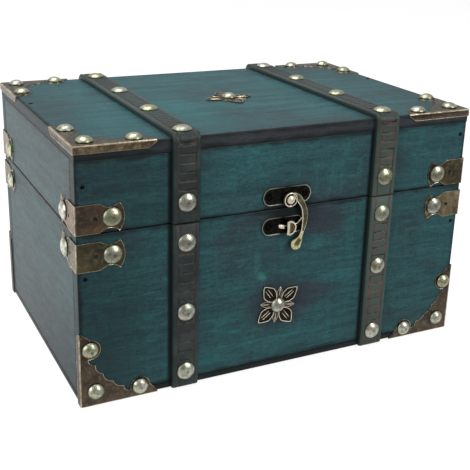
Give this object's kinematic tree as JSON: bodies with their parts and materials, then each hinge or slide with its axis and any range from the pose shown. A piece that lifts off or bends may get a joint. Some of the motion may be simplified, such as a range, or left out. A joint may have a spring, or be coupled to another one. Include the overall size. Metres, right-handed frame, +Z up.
{
  "type": "treasure chest box",
  "caption": "Rectangular wooden keepsake chest with a hinged lid, padded straps, folded metal corners, domed studs and a swinging front latch.",
  "frame": {"origin": "centre of the footprint, on the surface the chest stands on", "axes": "+X to the right along the front, +Y from the front (latch side) to the back (hinge side), +Z up"},
  "size_m": [0.2842, 0.1986, 0.1711],
  "materials": {
    "stained_wood": "satin blue-green stain with dark brushed edges",
    "strap_leather": "embossed dark imitation leather with rubbed red-brown lines",
    "antique_bronze": "antique bronze with bright worn edges",
    "stud_brass": "polished pale antique brass",
    "latch_bronze": "dark bronze with bright worn rim",
    "latch_brass": "antique brass, worn bright on its edges",
    "hinge_bronze": "antique bronze",
    "dark_steel": "blackened steel",
    "nail_steel": "dull steel, stained over"
  },
  "bodies": {
    "base": {"base_back_board": "stained_wood", "base_bottom_board": "stained_wood", "base_corner_back_left": "antique_bronze", "base_corner_back_right": "antique_bronze", "base_corner_front_left": "antique_bronze", "base_corner_front_right": "antique_bronze", "base_corner_studs": "stud_brass", "base_front_board": "stained_wood", "base_left_board": "stained_wood", "base_panel_nails": "nail_steel", "base_right_board": "stained_wood", "base_rosette": "antique_bronze", "base_rosette_stud": "stud_brass", "base_strap_back_left": "strap_leather", "base_strap_back_right": "strap_leather", "base_strap_front_left": "strap_leather", "base_strap_front_right": "strap_leather", "base_strap_studs": "stud_brass", "base_wrap_back_left": "antique_bronze", "base_wrap_back_right": "antique_bronze", "base_wrap_front_left": "antique_bronze", "base_wrap_front_right": "antique_bronze", "base_wrap_studs": "stud_brass", "hinge_base_leaf_left": "hinge_bronze", "hinge_base_leaf_right": "hinge_bronze", "hinge_base_screws": "dark_steel", "hinge_pins": "hinge_bronze", "latch_keeper": "latch_bronze", "latch_keeper_screws": "dark_steel"},
    "lid": {"hinge_lid_leaf_left": "hinge_bronze", "hinge_lid_leaf_right": "hinge_bronze", "hinge_lid_screws": "dark_steel", "latch_plate": "latch_bronze", "latch_plate_screws": "dark_steel", "latch_rivet": "latch_brass", "lid_back_board": "stained_wood", "lid_corner_back_left": "antique_bronze", "lid_corner_back_right": "antique_bronze", "lid_corner_front_left": "antique_bronze", "lid_corner_front_right": "antique_bronze", "lid_corner_studs": "stud_brass", "lid_front_board": "stained_wood", "lid_left_board": "stained_wood", "lid_panel_nails": "nail_steel", "lid_right_board": "stained_wood", "lid_rosette": "antique_bronze", "lid_rosette_stud": "stud_brass", "lid_strap_left": "strap_leather", "lid_strap_right": "strap_leather", "lid_strap_studs": "stud_brass", "lid_top_board": "stained_wood", "lid_wrap_back_left": "antique_bronze", "lid_wrap_back_right": "antique_bronze", "lid_wrap_front_left": "antique_bronze", "lid_wrap_front_right": "antique_bronze", "lid_wrap_studs": "stud_brass"},
    "latch_hook": {"latch_hook": "latch_brass"}
  },
  "joints": [
    {"name": "lid_hinge", "type": "hinge", "parent": "base", "child": "lid", "pos_m": [0, 0.0949, 0.1113], "axis": [-1, 0, 0], "range_deg": [0, 110]},
    {"name": "latch_swing", "type": "hinge", "parent": "lid", "child": "latch_hook", "pos_m": [0, -0.095, 0.1176], "axis": [0, -1, 0], "range_deg": [0, 110]}
  ]
}
